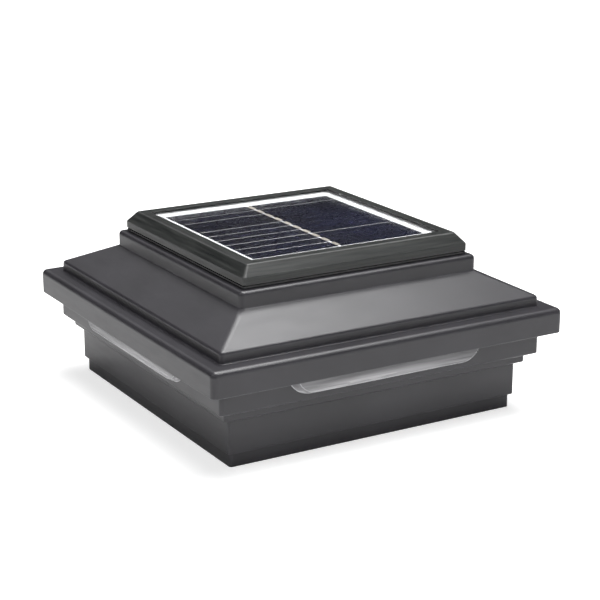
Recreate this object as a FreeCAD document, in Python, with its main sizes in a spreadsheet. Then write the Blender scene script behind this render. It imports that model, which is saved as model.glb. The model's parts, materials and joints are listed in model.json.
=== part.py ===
"""Square solar post cap light: a lift-off cap on a post sleeve, four side lenses and a solar panel.

Millimetres, +Z up. The origin is the centre of the underside, on the surface that the sleeve's foot rests on.
The front side is -Y and the right side is +X. The spreadsheet "Sizes" drives every feature.
"""
import FreeCAD, Part
import math
import os

import Sketcher
from FreeCAD import Placement, Rotation, Vector

DIMENSIONS = {
    # post sleeve
    "foot_half": 73.65, "foot_high": 6.5, "foot_corner": 1.4, "sharp_corner": 1.0, "sleeve_half": 72.6,
    "sleeve_high": 24.0, "sleeve_inside": 70.6, "seat_low": 21.5, "seat_opening": 52.0, "seat_corner": 6.0,
    "post_screw_at": 62.0, "post_screw_hole": 2.3, "lead_in": 0.8,
    # lower housing
    "skirt_half": 75.2, "skirt_corner": 1.4, "skirt_inside": 73.1, "lip_low": 22.5, "lip_half": 78.4,
    "lip_corner": 1.6, "lip_inside": 76.2, "lip_floor": 24.7, "tier_low": 27.25, "tier_half": 82.7,
    "tier_corner": 1.8, "tier_inside": 80.5, "tier_floor": 29.5, "flange_low": 38.4, "flange_high": 40.4,
    "flange_half": 87.5, "edge_round": 0.8, "wall_overlap": 0.5, "cut_past": 1.0, "ear_inner": 66.0,
    "ear_low": 30.0, "ear_high": 32.5, "ear_screw_at": 72.5, "ear_hole": 1.7,
    # roof shell
    "rim_half": 90.0, "rim_corner": 2.7, "rim_low": 38.2, "rim_high": 49.8, "rim_inside": 87.8,
    "rim_deck": 47.6, "rim_round": 2.5, "eave_round": 1.6, "root_round": 0.6, "small_round": 0.4,
    "plinth_half": 82.0, "plinth_corner": 1.8, "plinth_high": 54.6, "plinth_inside": 79.8,
    "band_half": 61.4, "band_corner": 2.4, "band_low": 64.9, "band_high": 72.2, "band_inside": 58.8,
    "band_round": 2.0, "deck_under": 70.0, "slope_in_low": 53.4, "slope_in_high": 63.7, "inner_corner": 1.5,
    "boss_round": 4.0, "boss_high": 57.0, "pilot_hole": 1.3, "boss_pilot_deep": 8.0, "cover_boss_x": 62.0,
    "cover_boss_y": 40.0, "cover_boss_round": 3.5, "cover_boss_high": 62.5, "cover_boss_roof": 4.0,
    "lead_hole": 2.5, "panel_lead_x": 12.0, "panel_lead_y": 46.0,
    # solar module
    "gasket_half": 57.2, "gasket_inside": 50.0, "tray_low": 72.6, "tray_half": 58.0, "tray_high": 73.3,
    "platform_half": 51.8, "platform_high": 77.2, "platform_inside": 49.0, "platform_under": 75.6,
    "bezel_foot_half": 57.3, "bezel_low": 73.7, "bezel_half": 58.2, "bezel_side_high": 77.1,
    "knee_round": 0.9, "crown_round": 0.9, "bezel_top_half": 54.2, "bezel_high": 82.0, "bezel_corner": 1.2,
    "bezel_inside": 52.2, "bezel_lip": 49.3, "bezel_lip_low": 81.4, "lip_window_corner": 0.6,
    "module_screw_at": 54.9, "module_screw_hole": 1.7, "module_pilot": 1.5, "module_pilot_high": 78.0,
    "panel_half": 51.6, "sheet_high": 78.4, "cell_high": 78.55, "ribbon_high": 78.7, "cell_pitch": 8.52,
    "cell_left": 44.9, "cell_right": 44.2, "cell_middle": 0.6, "cell_inner": 0.75, "cell_front": 43.1,
    "wide_gap": 0.78, "thin_gap": 0.3, "ribbon_half": 1.05,
    "ribbon_long": 5.4,
    # lenses and their lamps
    "lens_top": 38.1, "lens_top_half": 50.6, "lens_low": 30.0, "lens_low_half": 39.0, "lens_proud": 2.6,
    "lens_bevel_end": 3.6, "lens_bevel_low": 1.3, "lens_bevel_foot": 1.0, "plug_half": 38.0,
    "plug_low": 31.8, "plug_high": 36.8, "plug_corner": 0.8, "plug_inner": 79.4, "window_gap": 0.3,
    "reflector_half": 42.0, "reflector_low": 29.6, "reflector_high": 38.2, "reflector_front": 80.3,
    "reflector_back": 71.5, "reflector_wall": 1.2, "reflector_corner": 1.4, "lead_exit": 14.0,
    "lead_exit_high": 34.0, "led_board_half": 38.0, "led_board_low": 31.4, "led_board_high": 36.6,
    "led_board_thick": 1.2, "led_board_hole": 1.0, "led_board_hole_in": 2.6, "led_pitch": 25.0,
    "led_long": 3.6, "led_tall": 3.0, "led_thick": 1.0, "led_dome": 1.1, "led_dome_high": 0.4,
    "tiny_corner": 0.6,
    # inner cover, battery case and door
    "cover_half": 79.4, "cover_corner": 3.0, "cover_low": 41.0, "cover_high": 43.0, "boss_clear": 4.4,
    "case_half_x": 30.0, "case_half_y": 16.0, "case_wall": 1.8, "case_high": 58.2, "case_roof": 60.0,
    "door_half_x": 31.2, "door_half_y": 17.2, "door_gap": 0.35, "door_low": 40.6, "door_high": 42.0,
    "recess_high": 42.7, "seal_wide": 1.0, "hinge_y": -19.4, "hinge_z": 38.8, "barrel_round": 2.0,
    "barrel_half": 21.0, "pin_round": 1.0, "pin_half": 26.0, "pin_gap": 0.05, "ear_thick": 3.0,
    "hinge_ear_gap": 0.4, "grip_half": 6.0, "grip_deep": 2.4, "grip_thick": 1.2, "arm_reach": 5.0,
    "rib_half": 24.0, "rib_wide": 1.0, "rib_deep": 0.5, "seal_inset": 0.1, "press_gap": 0.02,
    # switch
    "switch_x": 45.5, "slot_half": 1.9, "slot_back": -2.4, "slot_front": 6.4, "switch_half": 4.0,
    "switch_back": -6.0, "switch_front": 10.0, "switch_high": 47.0, "carriage_half": 2.5,
    "carriage_low": 43.3, "carriage_high": 45.4, "neck_half": 1.5, "thumb_half_x": 3.0, "thumb_half_y": 2.4,
    "thumb_low": 38.8, "thumb_high": 40.8, "switch_cavity_high": 45.9, "switch_side_wall": 1.0,
    "switch_end_wall": 1.5, "groove_pitch": 1.2, "groove_half": 0.25, "groove_deep": 0.4,
    # control board and its parts
    "board_half": 34.0, "board_front": 24.0, "board_back": 57.0, "board_low": 47.0, "board_high": 48.6,
    "standoff_x": 30.5, "standoff_front": 27.5, "standoff_back": 53.5, "standoff_round": 2.6,
    "board_hole": 1.3, "standoff_pilot": 1.0, "chip_half_x": 4.0, "chip_front": 38.0, "chip_back": 43.0,
    "chip_lift": 0.2, "chip_high": 1.8, "leg_pitch": 2.0, "leg_wide": 0.5, "leg_reach": 1.1,
    "leg_high": 0.9, "drum_x": 16.0, "drum_y": 36.0, "drum_round": 3.6, "drum_waist": 2.9,
    "drum_flange": 1.2, "drum_high": 5.0, "can_x": -14.0, "can_y": 47.0, "can_base_round": 3.3,
    "can_neck_round": 2.9, "can_round": 3.15, "can_base_high": 1.6, "can_neck_high": 2.1, "can_high": 9.0,
    "passive_long": 2.0, "passive_wide": 1.25, "passive_high": 0.7, "socket_half": 2.5, "socket_high": 4.8,
    "mouth_half": 1.6, "mouth_low": 0.8, "mouth_high": 4.0, "mouth_wall": 0.6, "mouth_past": 1.2,
    "plug_in": 1.4,
    # cells and contacts
    "cell_round": 7.1, "cell_can": 48.2, "cell_nub": 1.4, "cell_nub_round": 2.75, "cell_y": 7.7,
    "cell_z": 50.6, "cell_start": -25.6, "cell_edge": 0.8, "plate_half": 6.0, "plate_half_high": 5.0,
    "plate_thick": 0.5, "plate_gap": 0.1, "spring_pitch": 0.95, "spring_long": 2.85, "spring_round": 3.4,
    "spring_wire": 0.35, "spring_gap": 0.02,
    # screws
    "head_high": 2.0, "head_round": 2.9, "shank_round": 1.25, "recess_deep": 1.1, "recess_half": 0.4,
    "recess_past": 0.1, "housing_screw_short": 10.0, "cover_screw_bite": 8.0, "bezel_head_round": 2.8,
    "bezel_shank_round": 1.45, "bezel_screw_short": 0.5, "board_head_high": 1.6, "board_head_round": 2.1,
    "board_shank_round": 0.95, "board_screw_short": 0.5,
    # leads
    "lead_round": 1.1, "lead_level": 51.0, "lead_way": 5.5, "lead_slack": 0.3, "battery_lead_y": 6.0,
    "battery_lead_z": 55.0,
}
CELL_COUNT = 10  # strips in each column
LEFT_WIDE_GAPS = (1, 2, 3, 4, 5, 6, 8, 9)  # counted from the front edge of the column
RIGHT_WIDE_GAPS = (3, 9)
CHIP_LEGS = 4
# left front corners on the board
PASSIVES = [(4, 47), (4, 50), (8, 30), (-12, 31), (-8, 31), (22, 47), (22, 50)]
SOCKETS = [  # name, middle, and the way its mouth faces
    ("led_front", -30.9, 34.0, "-x"), ("led_left", -30.9, 44.0, "-x"), ("led_back", -14.0, 53.9, "+y"),
    ("led_right", 30.9, 44.0, "+x"), ("switch", 30.9, 34.0, "+x"), ("panel", 12.0, 46.0, "+z"),
    ("battery", -22.0, 34.0, "+z"),
]
RIB_PLACES = (0.15, 0.45, 0.75)  # shares of the door's half-depth
RECESS_REACH = 0.6  # a screw recess arm, as a share of the head's radius


class Size:
    """A number together with the spreadsheet formula that gives it."""

    def __init__(self, value, formula=None):
        self.value = float(value)
        self.formula = formula or repr(self.value)

    def joined(self, sign, other, value):
        return Size(value, f"({self.formula} {sign} {other.formula})")

    def __add__(self, other):
        other = as_size(other)
        return self.joined("+", other, self.value + other.value)

    def __radd__(self, other):
        return as_size(other) + self

    def __sub__(self, other):
        other = as_size(other)
        return self.joined("-", other, self.value - other.value)

    def __rsub__(self, other):
        return as_size(other) - self

    def __mul__(self, other):
        other = as_size(other)
        return self.joined("*", other, self.value * other.value)

    def __rmul__(self, other):
        return as_size(other) * self

    def __truediv__(self, other):
        other = as_size(other)
        return self.joined("/", other, self.value / other.value)

    def __neg__(self):
        return Size(-self.value, f"(-1 * {self.formula})")


def as_size(number):
    return number if isinstance(number, Size) else Size(number)


class Sheet:
    """Attribute access to the spreadsheet's cells: sizes.rim_half is the cell rim_half as a Size."""

    def __getattr__(self, name):
        return Size(DIMENSIONS[name], "Sizes." + name)


doc = FreeCAD.newDocument("post_cap_light")
sheet = doc.addObject("Spreadsheet::Sheet", "Sizes")
for row, (alias, number) in enumerate(DIMENSIONS.items(), start=1):
    sheet.set(f"A{row}", alias)
    sheet.set(f"B{row}", str(number))
    sheet.setAlias(f"B{row}", alias)
doc.recompute()
sizes = Sheet()
subparts = []


# ---------------------------------------------------------------- helpers


def bind(thing, prop, size):
    """Ties a property of a document object to its formula in the sheet."""
    thing.setExpression(prop, as_size(size).formula)


def keep(thing, label):
    """Names a finished sub-part and lists it for writing."""
    thing.Label = label
    subparts.append(thing)
    return thing


def new_body(label):
    return keep(doc.addObject("PartDesign::Body", label), label)


def rectangle(across, along, corner=None):
    return {"kind": "rectangle", "across": across, "along": along, "corner": corner}


def span(half):
    return (-half, half)


def square(half, corner=None):
    return rectangle(span(half), span(half), corner)


def circle(across, along, radius):
    return {"kind": "circle", "across": as_size(across), "along": as_size(along), "radius": radius}


def mirrored(across, along):
    """A place and its mirror images, one in each quarter."""
    return [(across * x, along * y) for x in (-1, 1) for y in (-1, 1)]


def four_circles(across, along, radius):
    return [circle(x, y, radius) for x, y in mirrored(across, along)]


def measure(sketch, kind, item, point, size):
    """Adds a horizontal or vertical distance from the sketch's origin to a point, tied to the sheet."""
    size = as_size(size)
    if abs(size.value) < 1e-9:
        axis = -2 if kind == "DistanceX" else -1
        sketch.addConstraint(Sketcher.Constraint("PointOnObject", item, point, axis))
        return
    index = sketch.addConstraint(Sketcher.Constraint(kind, -1, 1, item, point, size.value))
    sketch.setExpression(f"Constraints[{index}]", size.formula)


def measure_radius(sketch, item, radius):
    index = sketch.addConstraint(Sketcher.Constraint("Radius", item, as_size(radius).value))
    sketch.setExpression(f"Constraints[{index}]", as_size(radius).formula)


def draw_circle(sketch, loop):
    centre = Vector(loop["across"].value, loop["along"].value, 0)
    item = sketch.addGeometry(Part.Circle(centre, Vector(0, 0, 1), as_size(loop["radius"]).value), False)
    measure(sketch, "DistanceX", item, 3, loop["across"])
    measure(sketch, "DistanceY", item, 3, loop["along"])
    measure_radius(sketch, item, loop["radius"])


def draw_rectangle(sketch, loop):
    """Right, far, left and near sides, joined by corner arcs where the loop has a corner radius."""
    low_x, high_x = (as_size(v) for v in loop["across"])
    low_y, high_y = (as_size(v) for v in loop["along"])
    radius = as_size(loop["corner"] or 0).value
    x0, x1, y0, y1 = low_x.value, high_x.value, low_y.value, high_y.value
    sides = [
        ((x1, y0 + radius), (x1, y1 - radius)), ((x1 - radius, y1), (x0 + radius, y1)),
        ((x0, y1 - radius), (x0, y0 + radius)), ((x0 + radius, y0), (x1 - radius, y0)),
    ]
    first = sketch.GeometryCount
    for start, end in sides:
        sketch.addGeometry(Part.LineSegment(Vector(*start, 0), Vector(*end, 0)), False)
    if radius:
        centres = [(x1 - radius, y1 - radius), (x0 + radius, y1 - radius),
                   (x0 + radius, y0 + radius), (x1 - radius, y0 + radius)]
        for turn, centre in enumerate(centres):
            ring = Part.Circle(Vector(*centre, 0), Vector(0, 0, 1), radius)
            arc = Part.ArcOfCircle(ring, turn * math.pi / 2, (turn + 1) * math.pi / 2)
            sketch.addGeometry(arc, False)
    for side in range(4):
        this, following = first + side, first + (side + 1) % 4
        if radius:
            sketch.addConstraint(Sketcher.Constraint("Tangent", this, 2, first + 4 + side, 1))
            sketch.addConstraint(Sketcher.Constraint("Tangent", first + 4 + side, 2, following, 1))
        else:
            sketch.addConstraint(Sketcher.Constraint("Coincident", this, 2, following, 1))
        sketch.addConstraint(Sketcher.Constraint("Vertical" if side % 2 == 0 else "Horizontal", this))
    if radius:
        for arc in range(first + 5, first + 8):
            sketch.addConstraint(Sketcher.Constraint("Equal", first + 4, arc))
        measure_radius(sketch, first + 4, loop["corner"])
    measure(sketch, "DistanceX", first, 1, high_x)
    measure(sketch, "DistanceY", first + 1, 1, high_y)
    measure(sketch, "DistanceX", first + 2, 1, low_x)
    measure(sketch, "DistanceY", first + 3, 1, low_y)


def new_sketch(body, name, plane, offset, loops=()):
    """A sketch on one of the body's own origin planes, moved along that plane's normal by offset."""
    sketch = body.newObject("Sketcher::SketchObject", name)
    support = [f for f in body.Origin.OriginFeatures if f.Role == plane][0]
    sketch.AttachmentSupport = (support, [""])
    sketch.MapMode = "FlatFace"
    bind(sketch, "AttachmentOffset.Base.z", offset)
    for loop in loops:
        if loop["kind"] == "circle":
            draw_circle(sketch, loop)
        else:
            draw_rectangle(sketch, loop)
    return sketch


def pad(body, name, loops, low, high, plane="XY_Plane"):
    """Material from low to high along the plane's normal."""
    sketch = new_sketch(body, name + "_sketch", plane, low, loops)
    feature = body.newObject("PartDesign::Pad", name)
    feature.Profile = sketch
    bind(feature, "Length", high - low)
    return feature


def pocket(body, name, loops, low, high, plane="XY_Plane"):
    """Cuts from high down to low along the plane's normal, and makes sure that material went."""
    doc.recompute()
    before = body.Shape.Volume
    sketch = new_sketch(body, name + "_sketch", plane, high, loops)
    feature = body.newObject("PartDesign::Pocket", name)
    feature.Profile = sketch
    bind(feature, "Length", high - low)
    doc.recompute()
    if body.Shape.Volume > before - 0.01:
        raise RuntimeError(f"{body.Label}: {name} cuts nothing")
    return feature


def loft(body, name, sections, plane="XY_Plane", cuts=False):
    """A straight-sided solid, or a cut, through sections given as (offset, loop)."""
    sketches = [new_sketch(body, f"{name}_{i}_sketch", plane, offset, [loop])
                for i, (offset, loop) in enumerate(sections)]
    feature = body.newObject("PartDesign::SubtractiveLoft" if cuts else "PartDesign::AdditiveLoft", name)
    feature.Profile = sketches[0]
    feature.Sections = sketches[1:]
    feature.Ruled = True
    return feature


def dress(body, kind, name, size, chosen):
    """A fillet or chamfer on the edges of the body's last feature that chosen(edge) picks."""
    doc.recompute()
    base = body.Tip
    edges = [f"Edge{i}" for i, edge in enumerate(base.Shape.Edges, start=1) if chosen(edge)]
    if not edges:
        raise RuntimeError(f"{body.Label}: {name} finds no edge")
    feature = body.newObject("PartDesign::" + kind, name)
    feature.Base = (base, edges)
    bind(feature, "Radius" if kind == "Fillet" else "Size", size)
    doc.recompute()
    return feature


def level_edge(height, half):
    """Picks the level edges at a height whose farthest reach from the middle is half."""
    def chosen(edge):
        box = edge.BoundBox
        reach = max(abs(box.XMin), abs(box.XMax), abs(box.YMin), abs(box.YMax))
        level = abs(box.ZMin - height.value) < 0.01 and abs(box.ZMax - height.value) < 0.01
        return level and abs(reach - half.value) < 0.05
    return chosen


def box(name, across, along, up):
    """A Part::Box between the given limits."""
    block = doc.addObject("Part::Box", name)
    for prop, place, (low, high) in zip(("Length", "Width", "Height"), "xyz", (across, along, up)):
        bind(block, prop, as_size(high) - low)
        bind(block, "Placement.Base." + place, low)
    return block


def cylinder(name, x, y, low, high, radius):
    """An upright Part::Cylinder between two levels."""
    rod = doc.addObject("Part::Cylinder", name)
    bind(rod, "Radius", radius)
    bind(rod, "Height", as_size(high) - low)
    for place, value in zip("xyz", (x, y, low)):
        bind(rod, "Placement.Base." + place, value)
    return rod


def cut(name, base, *tools):
    if len(tools) > 1:
        tools = [fuse(name + "_tools", *tools)]
    result = doc.addObject("Part::Cut", name)
    result.Base = base
    result.Tool = tools[0]
    return result


def fuse(name, *pieces):
    result = doc.addObject("Part::MultiFuse", name)
    result.Shapes = list(pieces)
    return result


def group(label, pieces):
    """Separate solids that share one node."""
    result = doc.addObject("Part::Compound", label)
    result.Links = list(pieces)
    return keep(result, label)


def turned(thing, angle):
    """Turns a whole sub-part about the vertical axis."""
    thing.Placement = Placement(Vector(0, 0, 0), Rotation(Vector(0, 0, 1), angle))


# ---------------------------------------------------------------- post sleeve


def make_post_base():
    body = new_body("post_base")
    pad(body, "foot", [square(sizes.foot_half, sizes.foot_corner)], 0, sizes.foot_high)
    pad(body, "sleeve", [square(sizes.sleeve_half, sizes.foot_corner)], sizes.foot_high, sizes.sleeve_high)
    pocket(body, "post_socket", [square(sizes.sleeve_inside, sizes.sharp_corner)], 0, sizes.seat_low)
    pocket(body, "seat_window", [square(sizes.seat_opening, sizes.seat_corner)], sizes.seat_low,
           sizes.sleeve_high)
    pocket(body, "post_screw_holes",
           four_circles(sizes.post_screw_at, sizes.post_screw_at, sizes.post_screw_hole),
           sizes.seat_low, sizes.sleeve_high)
    dress(body, "Fillet", "foot_round", sizes.small_round, level_edge(sizes.foot_high, sizes.foot_half))
    dress(body, "Chamfer", "sleeve_lead_in", sizes.lead_in,
          level_edge(sizes.sleeve_high, sizes.sleeve_half))


# ---------------------------------------------------------------- lower housing


def window_loops():
    gap = sizes.window_gap
    across = (-sizes.plug_half - gap, sizes.plug_half + gap)
    return [rectangle(across, (sizes.plug_low - gap, sizes.plug_high + gap), sizes.sharp_corner)]


def make_lower_housing():
    body = new_body("lower_housing")
    pad(body, "skirt", [square(sizes.skirt_half, sizes.skirt_corner)], sizes.foot_high, sizes.lip_low)
    pad(body, "lip", [square(sizes.lip_half, sizes.lip_corner)], sizes.lip_low, sizes.tier_low)
    pad(body, "tier", [square(sizes.tier_half, sizes.tier_corner)], sizes.tier_low, sizes.flange_low)
    pad(body, "flange", [square(sizes.flange_half, sizes.tier_corner)], sizes.flange_low, sizes.flange_high)
    dress(body, "Fillet", "lip_round", sizes.edge_round, level_edge(sizes.lip_low, sizes.lip_half))
    dress(body, "Fillet", "tier_round", sizes.edge_round, level_edge(sizes.tier_low, sizes.tier_half))
    dress(body, "Fillet", "skirt_round", sizes.small_round, level_edge(sizes.foot_high, sizes.skirt_half))
    pocket(body, "skirt_inside", [square(sizes.skirt_inside, sizes.sharp_corner)], sizes.foot_high,
           sizes.lip_floor)
    pocket(body, "lip_inside", [square(sizes.lip_inside, sizes.sharp_corner)], sizes.lip_floor,
           sizes.tier_floor)
    pocket(body, "tier_inside", [square(sizes.tier_inside, sizes.sharp_corner)], sizes.tier_floor,
           sizes.flange_high)
    reach = sizes.tier_inside + sizes.wall_overlap
    spans = [(sizes.ear_inner, reach), (-reach, -sizes.ear_inner)]
    ears = [rectangle(across, along) for across in spans for along in spans]
    pad(body, "screw_ears", ears, sizes.ear_low, sizes.ear_high)
    pocket(body, "ear_holes", four_circles(sizes.ear_screw_at, sizes.ear_screw_at, sizes.ear_hole),
           sizes.ear_low, sizes.ear_high)
    inner, outer = sizes.tier_inside - sizes.cut_past, sizes.tier_half + sizes.cut_past
    for plane in ("XZ_Plane", "YZ_Plane"):
        pocket(body, "near_window_" + plane[0], window_loops(), inner, outer, plane)
        pocket(body, "far_window_" + plane[0], window_loops(), -outer, -inner, plane)


# ---------------------------------------------------------------- roof shell


def make_roof_shell():
    body = new_body("roof_shell")
    pad(body, "rim", [square(sizes.rim_half, sizes.rim_corner)], sizes.rim_low, sizes.rim_high)
    dress(body, "Fillet", "rim_round", sizes.rim_round, level_edge(sizes.rim_high, sizes.rim_half))
    pad(body, "plinth", [square(sizes.plinth_half, sizes.plinth_corner)], sizes.rim_high, sizes.plinth_high)
    loft(body, "slope", [(sizes.plinth_high, square(sizes.plinth_half, sizes.plinth_corner)),
                         (sizes.band_low, square(sizes.band_half, sizes.band_corner))])
    pad(body, "band", [square(sizes.band_half, sizes.band_corner)], sizes.band_low, sizes.band_high)
    dress(body, "Fillet", "band_round", sizes.band_round, level_edge(sizes.band_high, sizes.band_half))
    dress(body, "Fillet", "eave_round", sizes.eave_round, level_edge(sizes.plinth_high, sizes.plinth_half))
    dress(body, "Fillet", "band_root", sizes.root_round, level_edge(sizes.band_low, sizes.band_half))
    dress(body, "Fillet", "plinth_root", sizes.root_round, level_edge(sizes.rim_high, sizes.plinth_half))
    dress(body, "Fillet", "rim_drip", sizes.small_round, level_edge(sizes.rim_low, sizes.rim_half))
    pocket(body, "rim_inside", [square(sizes.rim_inside, sizes.inner_corner)], sizes.rim_low,
           sizes.rim_deck)
    pocket(body, "plinth_inside", [square(sizes.plinth_inside, sizes.inner_corner)], sizes.rim_deck,
           sizes.slope_in_low)
    loft(body, "slope_inside", [(sizes.slope_in_low, square(sizes.plinth_inside, sizes.inner_corner)),
                                (sizes.slope_in_high,
                                 square(sizes.band_inside, sizes.inner_corner))], cuts=True)
    pocket(body, "band_inside", [square(sizes.band_inside, sizes.inner_corner)], sizes.slope_in_high,
           sizes.deck_under)
    at = sizes.ear_screw_at
    pad(body, "housing_bosses", four_circles(at, at, sizes.boss_round), sizes.ear_high, sizes.boss_high)
    pocket(body, "housing_pilots", four_circles(at, at, sizes.pilot_hole), sizes.ear_high,
           sizes.boss_high - sizes.boss_pilot_deep)
    side, along = sizes.cover_boss_x, sizes.cover_boss_y
    pad(body, "cover_bosses", four_circles(side, along, sizes.cover_boss_round), sizes.cover_high,
        sizes.cover_boss_high)
    pocket(body, "cover_pilots", four_circles(side, along, sizes.pilot_hole), sizes.cover_high,
           sizes.cover_boss_high - sizes.cover_boss_roof)
    corner = sizes.module_screw_at
    holes = four_circles(corner, corner, sizes.module_screw_hole)
    holes.append(circle(sizes.panel_lead_x, sizes.panel_lead_y, sizes.lead_hole))
    pocket(body, "deck_holes", holes, sizes.deck_under, sizes.band_high)


# ---------------------------------------------------------------- solar module


def make_deck_gasket():
    body = new_body("deck_gasket")
    corner = sizes.module_screw_at
    loops = [square(sizes.gasket_half, sizes.bezel_corner), square(sizes.gasket_inside, sizes.bezel_corner)]
    loops += four_circles(corner, corner, sizes.module_screw_hole)
    pad(body, "ring", loops, sizes.band_high, sizes.tray_low)


def make_module_tray():
    body = new_body("module_tray")
    corner = sizes.module_screw_at
    pad(body, "plate", [square(sizes.tray_half, sizes.bezel_corner)], sizes.tray_low, sizes.tray_high)
    pad(body, "platform", [square(sizes.platform_half, sizes.bezel_corner)], sizes.tray_high,
        sizes.platform_high)
    pocket(body, "underside", [square(sizes.platform_inside, sizes.bezel_corner)], sizes.tray_low,
           sizes.platform_under)
    pocket(body, "tray_screw_holes", four_circles(corner, corner, sizes.module_screw_hole), sizes.tray_low,
           sizes.tray_high)
    pocket(body, "tray_lead_hole", [circle(sizes.panel_lead_x, sizes.panel_lead_y, sizes.lead_hole)],
           sizes.platform_under, sizes.platform_high)


def make_bezel():
    body = new_body("bezel")
    corner = sizes.module_screw_at
    pad(body, "bezel_foot", [square(sizes.bezel_foot_half, sizes.bezel_corner)], sizes.tray_high,
        sizes.bezel_low)
    pad(body, "bezel_side", [square(sizes.bezel_half, sizes.bezel_corner)], sizes.bezel_low,
        sizes.bezel_side_high)
    loft(body, "shoulder", [(sizes.bezel_side_high, square(sizes.bezel_half, sizes.bezel_corner)),
                            (sizes.bezel_high, square(sizes.bezel_top_half, sizes.bezel_corner))])
    dress(body, "Fillet", "knee_round", sizes.knee_round,
          level_edge(sizes.bezel_side_high, sizes.bezel_half))
    dress(body, "Fillet", "crown_round", sizes.crown_round,
          level_edge(sizes.bezel_high, sizes.bezel_top_half))
    dress(body, "Fillet", "bezel_low_round", sizes.small_round,
          level_edge(sizes.bezel_low, sizes.bezel_half))
    pocket(body, "panel_bay", [square(sizes.bezel_inside, sizes.sharp_corner)], sizes.tray_high,
           sizes.bezel_lip_low)
    pocket(body, "bezel_window", [square(sizes.bezel_lip, sizes.lip_window_corner)], sizes.bezel_lip_low,
           sizes.bezel_high)
    pocket(body, "bezel_pilots", four_circles(corner, corner, sizes.module_pilot), sizes.tray_high,
           sizes.module_pilot_high)


def make_backsheet():
    body = new_body("panel_backsheet")
    outline = [square(sizes.panel_half, sizes.sharp_corner)]
    pad(body, "backsheet", outline, sizes.platform_high, sizes.sheet_high)


def make_cells():
    """Two columns of strips on the white sheet, which shows in the wide gaps and hardly in the thin ones."""
    columns = [("left", (-sizes.cell_left, -sizes.cell_middle - sizes.cell_inner), LEFT_WIDE_GAPS),
               ("right", (sizes.cell_inner - sizes.cell_middle, sizes.cell_right), RIGHT_WIDE_GAPS)]
    strips = []
    for column, across, wide in columns:
        gaps = [sizes.wide_gap if i in wide else sizes.thin_gap for i in range(CELL_COUNT + 1)]
        for i in range(CELL_COUNT):
            front, back = (sizes.cell_pitch * k - sizes.cell_front for k in (i, i + 1))
            strips.append(box(f"cell_{column}_{i}", across, (front + gaps[i] / 2, back - gaps[i + 1] / 2),
                              (sizes.sheet_high, sizes.cell_high)))
    group("solar_cells", strips)


def make_ribbons():
    """A short tinned ribbon over the middle gap joins each pair of strips."""
    ribbons, half = [], sizes.ribbon_long / 2
    across = (-sizes.cell_middle - sizes.ribbon_half, sizes.ribbon_half - sizes.cell_middle)
    for i in range(CELL_COUNT):
        middle = sizes.cell_pitch * (i + 0.5) - sizes.cell_front
        ribbons.append(box(f"ribbon_{i}", across, (middle - half, middle + half),
                           (sizes.cell_high, sizes.ribbon_high)))
    group("cell_ribbons", ribbons)


def make_panel_cover():
    body = new_body("panel_cover")
    outline = [square(sizes.panel_half, sizes.sharp_corner)]
    pad(body, "clear_sheet", outline, sizes.ribbon_high, sizes.bezel_lip_low)


# ---------------------------------------------------------------- lenses and lamps


def draw_boat(sketch, top_half, low_half, low, top):
    """A level top edge, a shorter lower edge, and at each end an arc that meets the lower edge smoothly."""
    rise = top.value - low.value
    run = top_half.value - low_half.value
    radius = (run * run + rise * rise) / (2 * rise)
    centre_height = low.value + radius
    end_angle = math.atan2(top.value - centre_height, run)
    upper = [Vector(sign * top_half.value, top.value, 0) for sign in (1, -1)]
    lower = [Vector(sign * low_half.value, low.value, 0) for sign in (-1, 1)]
    left, right = (Part.Circle(Vector(sign * low_half.value, centre_height, 0), Vector(0, 0, 1), radius)
                   for sign in (-1, 1))
    sketch.addGeometry(Part.LineSegment(*upper), False)
    sketch.addGeometry(Part.ArcOfCircle(left, math.pi - end_angle, 1.5 * math.pi), False)
    sketch.addGeometry(Part.LineSegment(*lower), False)
    sketch.addGeometry(Part.ArcOfCircle(right, -0.5 * math.pi, end_angle), False)
    sketch.addConstraint(Sketcher.Constraint("Coincident", 0, 2, 1, 1))
    sketch.addConstraint(Sketcher.Constraint("Tangent", 1, 2, 2, 1))
    sketch.addConstraint(Sketcher.Constraint("Tangent", 2, 2, 3, 1))
    sketch.addConstraint(Sketcher.Constraint("Coincident", 3, 2, 0, 1))
    sketch.addConstraint(Sketcher.Constraint("Horizontal", 0))
    sketch.addConstraint(Sketcher.Constraint("Horizontal", 2))
    measure(sketch, "DistanceX", 0, 1, top_half)
    measure(sketch, "DistanceY", 0, 1, top)
    measure(sketch, "DistanceX", 0, 2, -top_half)
    measure(sketch, "DistanceX", 2, 1, -low_half)
    measure(sketch, "DistanceX", 2, 2, low_half)
    measure(sketch, "DistanceY", 2, 1, low)


def make_lens(side, angle):
    body = new_body("lens_" + side)
    back = new_sketch(body, "lens_back_sketch", "XZ_Plane", sizes.tier_half)
    draw_boat(back, sizes.lens_top_half, sizes.lens_low_half, sizes.lens_low, sizes.lens_top)
    front = new_sketch(body, "lens_front_sketch", "XZ_Plane", sizes.tier_half + sizes.lens_proud)
    draw_boat(front, sizes.lens_top_half - sizes.lens_bevel_end,
              sizes.lens_low_half - sizes.lens_bevel_foot,
              sizes.lens_low + sizes.lens_bevel_low, sizes.lens_top)
    bulge = body.newObject("PartDesign::AdditiveLoft", "bulge")
    bulge.Profile = back
    bulge.Sections = [front]
    bulge.Ruled = True
    plug = rectangle(span(sizes.plug_half), (sizes.plug_low, sizes.plug_high), sizes.plug_corner)
    pad(body, "plug", [plug], sizes.plug_inner, sizes.tier_half, "XZ_Plane")
    turned(body, angle)


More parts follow.
